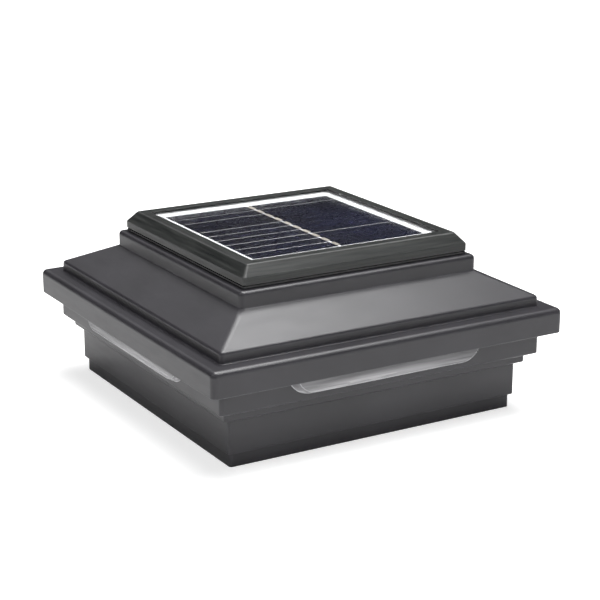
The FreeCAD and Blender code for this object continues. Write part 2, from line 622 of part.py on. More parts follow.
def make_reflector(side, angle):
    body = new_body("reflector_" + side)
    wall = sizes.reflector_wall
    outer = rectangle(span(sizes.reflector_half), (sizes.reflector_low, sizes.reflector_high),
                      sizes.reflector_corner)
    inner = rectangle((-sizes.reflector_half + wall, sizes.reflector_half - wall),
                      (sizes.reflector_low + wall, sizes.reflector_high - wall), sizes.tiny_corner)
    pad(body, "shell", [outer], sizes.reflector_back, sizes.reflector_front, "XZ_Plane")
    pocket(body, "trough", [inner], sizes.reflector_back + wall, sizes.reflector_front, "XZ_Plane")
    pocket(body, "lead_way",
           [circle(sizes.lead_exit, sizes.lead_exit_high, sizes.lead_round + sizes.lead_slack)],
           sizes.reflector_back, sizes.reflector_back + wall, "XZ_Plane")
    turned(body, angle)


def make_led_board(side, angle):
    body = new_body("led_board_" + side)
    back = sizes.reflector_back + sizes.reflector_wall
    outline = rectangle(span(sizes.led_board_half), (sizes.led_board_low, sizes.led_board_high),
                        sizes.tiny_corner)
    pad(body, "strip", [outline], back, back + sizes.led_board_thick, "XZ_Plane")
    hole_x = sizes.led_board_half - sizes.led_board_hole_in
    ends = [circle(hole_x * end, sizes.lead_exit_high, sizes.led_board_hole) for end in (-1, 1)]
    pocket(body, "strip_holes", ends, back, back + sizes.led_board_thick, "XZ_Plane")
    turned(body, angle)


def make_leds(side, angle):
    body = new_body("leds_" + side)
    face = sizes.reflector_back + sizes.reflector_wall + sizes.led_board_thick
    middle = sizes.lead_exit_high
    spots = [sizes.led_pitch * i for i in (-1, 0, 1)]
    packages = [rectangle((x - sizes.led_long / 2, x + sizes.led_long / 2),
                          (middle - sizes.led_tall / 2, middle + sizes.led_tall / 2)) for x in spots]
    pad(body, "packages", packages, face, face + sizes.led_thick, "XZ_Plane")
    domes = [circle(x, middle, sizes.led_dome) for x in spots]
    pad(body, "domes", domes, face + sizes.led_thick, face + sizes.led_thick + sizes.led_dome_high,
        "XZ_Plane")
    turned(body, angle)


# ---------------------------------------------------------------- inner cover, battery case and door


def make_inner_cover():
    body = new_body("inner_cover")
    wall = sizes.case_wall
    case = rectangle((-sizes.case_half_x - wall, sizes.case_half_x + wall),
                     (-sizes.case_half_y - wall, sizes.case_half_y + wall), sizes.inner_corner)
    cavity = rectangle(span(sizes.case_half_x), span(sizes.case_half_y),
                       sizes.tiny_corner)
    recess = rectangle((-sizes.door_half_x - sizes.door_gap, sizes.door_half_x + sizes.door_gap),
                       span(sizes.door_half_y + sizes.door_gap), sizes.tiny_corner)
    pad(body, "cover_plate", [square(sizes.cover_half, sizes.cover_corner)], sizes.cover_low,
        sizes.cover_high)
    pad(body, "case", [case], sizes.cover_high, sizes.case_roof)
    pocket(body, "case_inside", [cavity], sizes.cover_low, sizes.case_high)
    pocket(body, "door_recess", [recess], sizes.cover_low, sizes.recess_high)
    at = sizes.ear_screw_at
    holes = four_circles(at, at, sizes.boss_clear)
    holes += four_circles(sizes.cover_boss_x, sizes.cover_boss_y, sizes.ear_hole)
    reach = sizes.reflector_back - sizes.lead_way
    ways = [(sizes.lead_exit, -reach), (reach, sizes.lead_exit), (-sizes.lead_exit, reach),
            (-reach, -sizes.lead_exit)]
    holes += [circle(x, y, sizes.lead_hole) for x, y in ways]
    slot = rectangle((sizes.switch_x - sizes.slot_half, sizes.switch_x + sizes.slot_half),
                     (sizes.slot_back, sizes.slot_front), sizes.tiny_corner)
    pocket(body, "cover_holes", holes + [slot], sizes.cover_low, sizes.cover_high)
    pad(body, "standoffs", at_standoffs(sizes.standoff_round), sizes.cover_high, sizes.board_low)
    pocket(body, "standoff_pilots", at_standoffs(sizes.standoff_pilot), sizes.cover_high, sizes.board_low)
    hinge_ears(body)
    lead_way = circle(sizes.battery_lead_y, sizes.battery_lead_z, sizes.lead_round + sizes.lead_slack)
    pocket(body, "battery_lead_way", [lead_way], -sizes.case_half_x - wall, -sizes.case_half_x, "YZ_Plane")


def at_standoffs(radius):
    """A circle at each of the four posts that carry the control board."""
    return [circle(sizes.standoff_x * x, y, radius)
            for x in (-1, 1) for y in (sizes.standoff_front, sizes.standoff_back)]


def hinge_ears(body):
    """Two ears under the plate, outside the door's barrel, with a hole for the pin."""
    inner = sizes.barrel_half + sizes.hinge_ear_gap
    reach = sizes.barrel_round
    for sign in (-1, 1):
        low = inner if sign > 0 else -inner - sizes.ear_thick
        ear = rectangle((sizes.hinge_y - reach, sizes.hinge_y + reach),
                        (sizes.hinge_z - reach, sizes.cover_low + sizes.wall_overlap))
        hole = circle(sizes.hinge_y, sizes.hinge_z, sizes.pin_round + sizes.press_gap)
        pad(body, f"hinge_ear_{sign + 1}", [ear], low, low + sizes.ear_thick, "YZ_Plane")
        pocket(body, f"hinge_hole_{sign + 1}", [hole], low, low + sizes.ear_thick, "YZ_Plane")


def make_battery_door():
    body = new_body("battery_door")
    leaf = rectangle(span(sizes.door_half_x), span(sizes.door_half_y), sizes.tiny_corner)
    pad(body, "leaf", [leaf], sizes.door_low, sizes.door_high)
    arm = rectangle(span(sizes.barrel_half), (sizes.hinge_y, -sizes.door_half_y + sizes.arm_reach))
    pad(body, "arm", [arm], sizes.hinge_z, sizes.door_low)
    barrel = [circle(sizes.hinge_y, sizes.hinge_z, sizes.barrel_round)]
    pad(body, "barrel", barrel, -sizes.barrel_half, sizes.barrel_half, "YZ_Plane")
    bore = [circle(sizes.hinge_y, sizes.hinge_z, sizes.pin_round + sizes.pin_gap)]
    pocket(body, "barrel_bore", bore, -sizes.barrel_half, sizes.barrel_half, "YZ_Plane")
    grip = rectangle(span(sizes.grip_half),
                     (sizes.door_half_y - sizes.grip_thick, sizes.door_half_y))
    pad(body, "finger_grip", [grip], sizes.door_low - sizes.grip_deep, sizes.door_low)
    ribs = [rectangle(span(sizes.rib_half),
                      (sizes.door_half_y * share - sizes.rib_wide / 2,
                       sizes.door_half_y * share + sizes.rib_wide / 2))
            for share in RIB_PLACES]
    pad(body, "grip_ribs", ribs, sizes.door_low - sizes.rib_deep, sizes.door_low)


def make_door_seal():
    """A ring that lies on the leaf and presses on the roof of the door's recess."""
    body = new_body("door_seal")
    half_x, half_y = sizes.door_half_x - sizes.seal_inset, sizes.door_half_y - sizes.seal_inset
    inner_x, inner_y = half_x - sizes.seal_wide, half_y - sizes.seal_wide
    outer = rectangle((-half_x, half_x), (-half_y, half_y), sizes.tiny_corner)
    inner = rectangle((-inner_x, inner_x), (-inner_y, inner_y), sizes.small_round)
    pad(body, "seal_ring", [outer, inner], sizes.door_high, sizes.recess_high)


def make_hinge_pin():
    pin = doc.addObject("Part::Cylinder", "door_hinge_pin")
    bind(pin, "Radius", sizes.pin_round)
    bind(pin, "Height", sizes.pin_half * 2)
    pin.Placement = Placement(Vector(0, 0, 0), Rotation(Vector(0, 1, 0), 90))
    for place, value in zip("xyz", (-sizes.pin_half, sizes.hinge_y, sizes.hinge_z)):
        bind(pin, "Placement.Base." + place, value)
    keep(pin, "door_hinge_pin")


# ---------------------------------------------------------------- switch


def make_switch():
    shell = new_body("switch_body")
    x = sizes.switch_x
    inner_half = sizes.switch_half - sizes.switch_side_wall
    outer = rectangle((x - sizes.switch_half, x + sizes.switch_half),
                      (sizes.switch_back, sizes.switch_front),
                      sizes.tiny_corner)
    inner = rectangle((x - inner_half, x + inner_half),
                      (sizes.switch_back + sizes.switch_end_wall,
                       sizes.switch_front - sizes.switch_end_wall),
                      sizes.tiny_corner)
    pad(shell, "switch_shell", [outer], sizes.cover_high, sizes.switch_high)
    pocket(shell, "switch_cavity", [inner], sizes.cover_high, sizes.switch_cavity_high)
    knob = new_body("switch_knob")
    carriage = rectangle((x - sizes.carriage_half, x + sizes.carriage_half),
                         span(sizes.carriage_half), sizes.small_round)
    neck = rectangle((x - sizes.neck_half, x + sizes.neck_half), span(sizes.neck_half))
    thumb = rectangle((x - sizes.thumb_half_x, x + sizes.thumb_half_x), span(sizes.thumb_half_y),
                      sizes.tiny_corner)
    pad(knob, "thumb_piece", [thumb], sizes.thumb_low, sizes.thumb_high)
    pad(knob, "neck", [neck], sizes.thumb_high, sizes.carriage_low)
    pad(knob, "carriage", [carriage], sizes.carriage_low, sizes.carriage_high)
    reach = sizes.thumb_half_x + sizes.groove_half
    low, high = sizes.groove_pitch - sizes.groove_half, sizes.groove_pitch + sizes.groove_half
    grooves = [rectangle((x - reach, x + reach), along)
               for along in ((-high, -low), span(sizes.groove_half), (low, high))]
    pocket(knob, "thumb_grooves", grooves, sizes.thumb_low, sizes.thumb_low + sizes.groove_deep)


# ---------------------------------------------------------------- control board


def make_control_board():
    board = new_body("control_board")
    outline = rectangle(span(sizes.board_half), (sizes.board_front, sizes.board_back),
                        sizes.sharp_corner)
    pad(board, "board", [outline], sizes.board_low, sizes.board_high)
    pocket(board, "board_holes", at_standoffs(sizes.board_hole), sizes.board_low, sizes.board_high)


def make_control_chip():
    """A block with four legs on each long side."""
    top = sizes.board_high
    pieces = [box("chip_block", span(sizes.chip_half_x), (sizes.chip_front, sizes.chip_back),
                  (top + sizes.chip_lift, top + sizes.chip_high))]
    for i in range(CHIP_LEGS):
        x = sizes.leg_pitch * (i - (CHIP_LEGS - 1) / 2) - sizes.leg_wide / 2
        for y in (sizes.chip_front - sizes.leg_reach, sizes.chip_back):
            pieces.append(box(f"chip_leg_{i}", (x, x + sizes.leg_wide), (y, y + sizes.leg_reach),
                              (top, top + sizes.leg_high)))
    group("control_chip", pieces)


def turned_stack(label, x, y, steps):
    """A round part on the board: stacked cylinders, each given as its top above the board and its radius."""
    level, pieces = sizes.board_high, []
    for i, (top, radius) in enumerate(steps):
        pieces.append(cylinder(f"{label}_{i}", x, y, level, sizes.board_high + top, radius))
        level = sizes.board_high + top
    keep(fuse(label, *pieces), label)


def make_board_parts():
    turned_stack("inductor", sizes.drum_x, sizes.drum_y, [
        (sizes.drum_flange, sizes.drum_round), (sizes.drum_high - sizes.drum_flange, sizes.drum_waist),
        (sizes.drum_high, sizes.drum_round)])
    turned_stack("capacitor", sizes.can_x, sizes.can_y, [
        (sizes.can_base_high, sizes.can_base_round), (sizes.can_neck_high, sizes.can_neck_round),
        (sizes.can_high, sizes.can_round)])
    top = sizes.board_high
    group("board_passives", [
        box(f"passive_{i}", (x, x + sizes.passive_long), (y, y + sizes.passive_wide),
            (top, top + sizes.passive_high))
        for i, (x, y) in enumerate(PASSIVES)])


def make_lead_sockets():
    """A plug-in socket for each lead, open on the side that the lead comes from."""
    top, half, mouth_half = sizes.board_high, sizes.socket_half, sizes.mouth_half
    sockets = []
    for name, x, y, toward in SOCKETS:
        block = box(f"socket_{name}", (x - half, x + half), (y - half, y + half),
                    (top, top + sizes.socket_high))
        low = [x - mouth_half, y - mouth_half, top + sizes.mouth_low]
        high = [x + mouth_half, y + mouth_half, top + sizes.mouth_high]
        axis = "xyz".index(toward[1])
        if toward[0] == "+":
            low[axis], high[axis] = high[axis] - sizes.mouth_wall, high[axis] + sizes.mouth_past
        else:
            low[axis], high[axis] = low[axis] - sizes.mouth_past, low[axis] + sizes.mouth_wall
        mouth = box(f"mouth_{name}", *zip(low, high))
        sockets.append(cut(f"socket_open_{name}", block, mouth))
    group("lead_sockets", sockets)


# ---------------------------------------------------------------- rechargeable cells and contacts


def cell_profile(sketch):
    """Half of a cell's section: up the flat end, along the can, down the step and out to the nub."""
    axis, can, nub = as_size(0), sizes.cell_can, sizes.cell_can + sizes.cell_nub
    ring, small = sizes.cell_round, sizes.cell_nub_round
    outline = [(axis, axis), (axis, ring), (can, ring), (can, small), (nub, small), (nub, axis)]
    corners = [Vector(across.value, along.value, 0) for across, along in outline]
    for start, end in zip(corners, corners[1:] + corners[:1]):
        sketch.addGeometry(Part.LineSegment(start, end), False)
    for i, (across, along) in enumerate(outline):
        sketch.addConstraint(Sketcher.Constraint("Coincident", i, 2, (i + 1) % len(outline), 1))
        measure(sketch, "DistanceX", i, 1, across)
        measure(sketch, "DistanceY", i, 1, along)


def make_cell(label, middle, flipped):
    body = new_body(label)
    sketch = new_sketch(body, "cell_section", "XZ_Plane", 0)
    cell_profile(sketch)
    turn = body.newObject("PartDesign::Revolution", "cell_turn")
    turn.Profile = sketch
    turn.ReferenceAxis = (sketch, ["H_Axis"])
    turn.Angle = 360
    dress(body, "Fillet", "can_round", sizes.cell_edge, is_can_end)
    turned(body, 180 if flipped else 0)
    start = -sizes.cell_start if flipped else sizes.cell_start
    for place, value in zip("xyz", (start, middle, sizes.cell_z)):
        bind(body, "Placement.Base." + place, value)


def is_can_end(edge):
    """True for the two round edges of a cell's can, which stand square to its axis."""
    size = edge.BoundBox
    return size.XLength < 0.01 and abs(size.YLength - 2 * sizes.cell_round.value) < 0.01


def make_contact_plates():
    """A flat plate at each end of each cell, just off the case's wall."""
    near = sizes.case_half_x - sizes.plate_gap - sizes.plate_thick
    spans = [(near, near + sizes.plate_thick), (-near - sizes.plate_thick, -near)]
    up = (sizes.cell_z - sizes.plate_half_high, sizes.cell_z + sizes.plate_half_high)
    plates = []
    for name, sign in (("rear", 1), ("front", -1)):
        middle = sizes.cell_y * sign
        along = (middle - sizes.plate_half, middle + sizes.plate_half)
        plates += [box(f"plate_{name}_{i}", across, along, up) for i, across in enumerate(spans)]
    group("contact_plates", plates)


def make_contact_springs():
    """One coil spring between each cell's flat end and its plate."""
    ring, wire = sizes.spring_round.value, sizes.spring_wire.value
    face = sizes.case_half_x - sizes.plate_gap - sizes.plate_thick - sizes.spring_wire - sizes.spring_gap
    springs = []
    for sign in (1, -1):
        helix = Part.makeLongHelix(sizes.spring_pitch.value, sizes.spring_long.value, ring, 0)
        profile = Part.Wire(Part.makeCircle(wire, Vector(ring, 0, 0), Vector(0, 1, 0)))
        coil = Part.Wire(helix.Edges).makePipeShell([profile], True, True)
        coil.rotate(Vector(0, 0, 0), Vector(0, 1, 0), 90 * sign)
        coil.translate(Vector(-sign * face.value, sizes.cell_y.value * sign, sizes.cell_z.value))
        springs.append(coil)
    holder = doc.addObject("Part::Feature", "contact_springs")
    holder.Shape = Part.makeCompound(springs)
    keep(holder, "contact_springs")


# ---------------------------------------------------------------- screws


def screw(name, x, y, seat, tip, head_high, head_round, shank_round, upward=True):
    """A pan-head screw with a cross recess. Its head bears on seat, from below if it points up."""
    if upward:
        head_span, shank_span = (seat - head_high, seat), (seat, tip)
        recess = (head_span[0] - sizes.recess_past, head_span[0] + sizes.recess_deep)
    else:
        head_span, shank_span = (seat, seat + head_high), (tip, seat)
        recess = (head_span[1] - sizes.recess_deep, head_span[1] + sizes.recess_past)
    head = cylinder(name + "_head", x, y, *head_span, head_round)
    shank = cylinder(name + "_shank", x, y, *shank_span, shank_round)
    arm, half = head_round * RECESS_REACH, sizes.recess_half
    slots = [box(name + "_slot_x", (x - arm, x + arm), (y - half, y + half), recess),
             box(name + "_slot_y", (x - half, x + half), (y - arm, y + arm), recess)]
    return cut(name, fuse(name + "_blank", head, shank), *slots)


def screw_set(label, places, *shape, **options):
    group(label, [screw(f"{label}_{i}", x, y, *shape, **options) for i, (x, y) in enumerate(places)])


def make_screws():
    plain = (sizes.head_high, sizes.head_round, sizes.shank_round)
    screw_set("housing_screws", mirrored(sizes.ear_screw_at, sizes.ear_screw_at), sizes.ear_low,
              sizes.boss_high - sizes.housing_screw_short, *plain)
    screw_set("cover_screws", mirrored(sizes.cover_boss_x, sizes.cover_boss_y), sizes.cover_low,
              sizes.cover_high + sizes.cover_screw_bite, *plain)
    screw_set("bezel_screws", mirrored(sizes.module_screw_at, sizes.module_screw_at), sizes.deck_under,
              sizes.module_pilot_high - sizes.bezel_screw_short, sizes.head_high, sizes.bezel_head_round,
              sizes.bezel_shank_round)
    standoffs = [(sizes.standoff_x * x, y)
                 for y in (sizes.standoff_front, sizes.standoff_back) for x in (-1, 1)]
    screw_set("board_screws", standoffs, sizes.board_high, sizes.cover_high + sizes.board_screw_short,
              sizes.board_head_high, sizes.board_head_round, sizes.board_shank_round, upward=False)


# ---------------------------------------------------------------- internal leads


def rounded_path(points):
    """Straight runs joined by tangent arcs, each arc as large as its two runs allow."""
    corners = [Vector(*p) for p in points]
    edges, start = [], corners[0]
    for before, corner, after in zip(corners, corners[1:], corners[2:]):
        arriving, leaving = (corner - before), (after - corner)
        shorter = min(arriving.Length, leaving.Length)
        arriving.normalize()
        leaving.normalize()
        turn = arriving.getAngle(leaving)
        reach = 0.45 * shorter
        radius = reach / math.tan(turn / 2)
        entry, leave = corner - arriving * reach, corner + leaving * reach
        inward = leaving - arriving
        inward.normalize()
        middle = corner + inward * (radius / math.cos(turn / 2) - radius)
        edges.append(Part.LineSegment(start, entry).toShape())
        edges.append(Part.Arc(entry, middle, leave).toShape())
        start = leave
    edges.append(Part.LineSegment(start, corners[-1]).toShape())
    return Part.Wire(edges)


def make_lead(label, points):
    """A round two-core lead swept along its route."""
    path = rounded_path(points)
    radius = sizes.lead_round.value
    start, following = Vector(*points[0]), Vector(*points[1])
    section = Part.Wire(Part.makeCircle(radius, start, following - start))
    tube = path.makePipeShell([section], True, False)
    expected = math.pi * radius * radius * path.Length
    if abs(tube.Volume - expected) > 0.01 * expected:
        raise RuntimeError(f"{label}: the tube's volume {tube.Volume:.1f} is not {expected:.1f}")
    lead = doc.addObject("Part::Feature", label)
    lead.Shape = tube
    keep(lead, label)


def make_leads():
    level = sizes.lead_level.value
    exit_at, high = sizes.lead_exit.value, sizes.lead_exit_high.value
    wall = sizes.reflector_back.value + sizes.reflector_wall.value
    way = sizes.reflector_back.value - sizes.lead_way.value
    mouth = 32.9
    socket_top = (sizes.board_high + sizes.socket_high - sizes.plug_in).value
    make_lead("led_lead_front", [(exit_at, -wall, high), (exit_at, -way, high), (exit_at, -way, level),
                                 (exit_at, -38, level), (-42, -38, level), (-42, 34, level),
                                 (-mouth, 34, level)])
    make_lead("led_lead_left", [(-wall, -exit_at, high), (-way, -exit_at, high), (-way, -exit_at, level),
                                (-51, -exit_at, level), (-51, 44, level), (-mouth, 44, level)])
    make_lead("led_lead_back", [(-exit_at, wall, high), (-exit_at, way, high), (-exit_at, way, level),
                                (-exit_at, 55.9, level)])
    make_lead("led_lead_right", [(wall, exit_at, high), (way, exit_at, high), (way, exit_at, level),
                                 (51, exit_at, level), (51, 44, level), (mouth, 44, level)])
    make_lead("switch_lead",
              [(45.5, 10, 45), (45.5, 17, 45), (45.5, 25, level), (45.5, 34, level), (mouth, 34, level)])
    x, y = sizes.panel_lead_x.value, sizes.panel_lead_y.value
    make_lead("panel_lead", [(x, y, sizes.platform_high.value), (x, y, 68), (x - 4, y + 3, 62), (x, y, 57),
                             (x, y, socket_top)])
    y, low = sizes.battery_lead_y.value, sizes.battery_lead_z.value
    make_lead("battery_lead", [(-30.2, y, low), (-36.5, y, low), (-36.5, 30, 58), (-22, 34, 60),
                               (-22, 34, socket_top)])


# ---------------------------------------------------------------- build and write


SIDES = [("front", 0), ("right", 90), ("back", 180), ("left", 270)]


def build():
    make_post_base()
    make_lower_housing()
    make_roof_shell()
    make_deck_gasket()
    make_module_tray()
    make_bezel()
    make_backsheet()
    make_cells()
    make_ribbons()
    make_panel_cover()
    for side, angle in SIDES:
        make_lens(side, angle)
        make_reflector(side, angle)
        make_led_board(side, angle)
        make_leds(side, angle)
    make_inner_cover()
    make_battery_door()
    make_door_seal()
    make_hinge_pin()
    make_switch()
    make_control_board()
    make_control_chip()
    make_board_parts()
    make_lead_sockets()
    make_cell("battery_rear", sizes.cell_y, False)
    make_cell("battery_front", -sizes.cell_y, True)
    make_contact_plates()
    make_contact_springs()
    make_screws()
    make_leads()
    doc.recompute()


def check():
    for thing in doc.Objects:
        if "Invalid" in thing.State or "Error" in thing.State:
            raise RuntimeError(f"{thing.Label} failed: {thing.State}")
    for part in subparts:
        if part.Shape.isNull() or not part.Shape.isValid():
            raise RuntimeError(f"{part.Label} has no valid shape")


def write():
    os.makedirs("parts", exist_ok=True)
    for part in subparts:
        part.Shape.exportStep(f"parts/{part.Label}.step")
        print(f"{part.Label}: {part.Shape.Volume:.1f} mm3, {len(part.Shape.Solids)} solids")
    print(len(subparts), "sub-parts written")


build()
check()
write()
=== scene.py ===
import json
import math

import bpy
from mathutils import Matrix, Vector

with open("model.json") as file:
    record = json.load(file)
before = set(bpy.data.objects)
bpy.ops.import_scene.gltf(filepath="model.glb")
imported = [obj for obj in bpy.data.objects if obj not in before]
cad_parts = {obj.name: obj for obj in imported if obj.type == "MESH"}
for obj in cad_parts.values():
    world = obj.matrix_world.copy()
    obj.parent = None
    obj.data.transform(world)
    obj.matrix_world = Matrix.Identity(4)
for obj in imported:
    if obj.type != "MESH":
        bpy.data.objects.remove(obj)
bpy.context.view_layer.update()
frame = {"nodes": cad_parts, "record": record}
nodes = frame["nodes"]

# Lengths are in metres, and texture scales are repeats per metre. A SHARE is how much of a tone or a texture
# goes into a look.

NOISE_ROUGHNESS = 0.55
# how far a bevel turns the surface where an edge starts to count, and where it counts in full
EDGE_FAINT, EDGE_FULL = 0.02, 0.25
EDGE_SAMPLES = 4

# moulded plastics
SHELL_DARK, SHELL_LIGHT = (0.0205, 0.0195, 0.0225), (0.0275, 0.0262, 0.0305)
INNER_DARK, INNER_LIGHT = (0.022, 0.022, 0.023), (0.030, 0.030, 0.031)
KNOB_DARK, KNOB_LIGHT = (0.36, 0.36, 0.37), (0.44, 0.44, 0.45)
PLASTIC_IOR = 1.5
# the edges of moulded plastic are paler, partly from rubbed wear and partly as a painted highlight
WORN_AND_HIGHLIT_LIGHTER = 4  # times as light as the plastic
RUBBED_ROUGHER, PATCH_ROUGHER = 0.05, 0.05
STREAK_STRETCH = (1.0, 1.0, 7.0)

# panel frame
# the frame's edges are paler, partly from wear and partly as a painted highlight
BEZEL_DARK, BEZEL_LIGHT, BEZEL_WORN_AND_HIGHLIT = (0.014, 0.015, 0.015), (0.034, 0.036, 0.034), (0.12, 0.12, 0.12)
BEZEL_WORN_AND_HIGHLIT_SHARE = 0.4
GRAIN_ALONG_X, GRAIN_ALONG_Y = (0.035, 1.0, 1.0), (1.0, 0.035, 1.0)

# lenses
# a lens's pale tone shows only where light is painted: reflection streaks, light at one end and a highlight
# on its edges
LENS_CLEAR, LENS_PALE, LENS_EDGE_HIGHLIGHT = (0.060, 0.059, 0.064), (0.56, 0.555, 0.57), (0.66, 0.66, 0.68)
# stretches for a lens's flow lines, whose paler streaks are painted reflections
STREAKS_ALONG_X, STREAKS_ALONG_Y = (0.05, 1.0, 1.0), (1.0, 0.05, 1.0)
# painted light, paler and rougher, at the left end of a front or back lens and at the front end of a side
# lens
END_LIGHT_FULL, END_LIGHT_GONE = -0.005, 0.045  # places along a lens
# heights between which the painted shade of the overhang darkens a lens toward its top
OVERHANG_SHADE_STARTS, OVERHANG_SHADE_FULL = 0.0312, 0.0352  # heights
END_LIGHT_SHARE, LENS_EDGE_HIGHLIGHT_SHARE = 0.5, 0.7
LENS_IOR = 1.49

# solar panel
CELL_BLACK, CELL_BLUE = (0.0008, 0.0007, 0.0018), (0.0010, 0.0018, 0.0120)
CELL_FLAKE, CELL_MOTTLE, CELL_FINGER = (0.003, 0.0029, 0.0085), (0.015, 0.014, 0.021), (0.42, 0.42, 0.45)
BLUE_SHARE, FLAKE_SHARE, MOTTLE_SHARE, FINGER_SHARE = 0.5, 0.5, 0.25, 0.12
FLAKE_STRETCH = (1.0, 1.6, 1.0)
BLUE_FROM, BLUE_TO = -0.03, 0.07  # x less y, which grows from the back left corner to the front right
FINGER_PITCH = 0.0021
FINGER_FULL, FINGER_FADED = 0.00002, 0.00009  # distances from a finger's middle line
SHEET_TINT = (0.97, 0.98, 0.98)
SHEET_IOR = 1.22
BLACK = (0.0, 0.0, 0.0)

# circuit boards
MASK_DARK, MASK_LIGHT, MASK_TRACK = (0.008, 0.075, 0.028), (0.012, 0.11, 0.04), (0.03, 0.22, 0.08)
TRACK_SHARE = 0.5
WEAVE_STRETCH = (1.0, 0.2, 1.0)

# rubber, nylon and metal
DARKER_TONE, DULLER_METAL = 0.8, 0.7  # shares of the named colour

# floor and room
FLOOR_HALF = 6.0
FLOOR_DARK, FLOOR_LIGHT = (0.78, 0.78, 0.78), (0.80, 0.80, 0.80)
LIFT_NEAR, LIFT_FAR = 0.55, 1.0  # the floor's own light
LIFT_FROM, LIFT_TO = 0.6, 2.5  # distances from the object
ROOM_COLOUR = (0.94, 0.98, 1.0, 1.0)
ROOM_LOW, ROOM_HIGH = 0.02, 0.04  # strengths
ROOM_RISES_FROM, ROOM_RISES_TO = 0.15, 0.9  # heights, 0 level with the object and 1 overhead
WHITE = (1.0, 1.0, 1.0)

# camera
CAMERA_AZIMUTH = math.radians(-30.786)
CAMERA_ELEVATION = math.radians(16.903)
CAMERA_ROLL = math.radians(0.22)
CAMERA_TARGET = Vector((0.0041, -0.0004, 0.0431))
CAMERA_DISTANCE = 0.7939
FOCAL_LENGTH, SENSOR_WIDTH = 100.4, 36.0  # millimetres
CLIP_START = 0.01

# lamps
MIDDLE, PANEL = (0, 0, 0.04), (0, 0, 0.06)
LAMPS = [  # name, place, aim, width, height and power in watts
    ("overhead", (0.25, 0.22, 1.25), MIDDLE, 0.8, 0.8, 19.5),
    ("zenith", (-0.05, 0, 1.35), MIDDLE, 0.7, 0.7, 7),
    ("frame_light", (0.32, -0.32, 1.0), PANEL, 0.35, 0.35, 4.5),
    ("left_fill", (-1.2, 0.1, 0.9), MIDDLE, 0.9, 0.6, 2),
    ("front_left_fill", (-0.9, -1.3, 0.9), MIDDLE, 0.9, 0.6, 13),
    ("front_low_fill", (0.3, -1.7, 0.3), MIDDLE, 1.2, 0.4, 3),
    ("back_fill", (0.1, 1.5, 1.0), MIDDLE, 0.8, 0.6, 1.0),
    ("underside_light", (0.4, 0.55, -1.0), MIDDLE, 0.8, 0.8, 24),
]


# ---------------------------------------------------------------- node helpers


def scaled(colour, share):
    return tuple(share * part for part in colour)


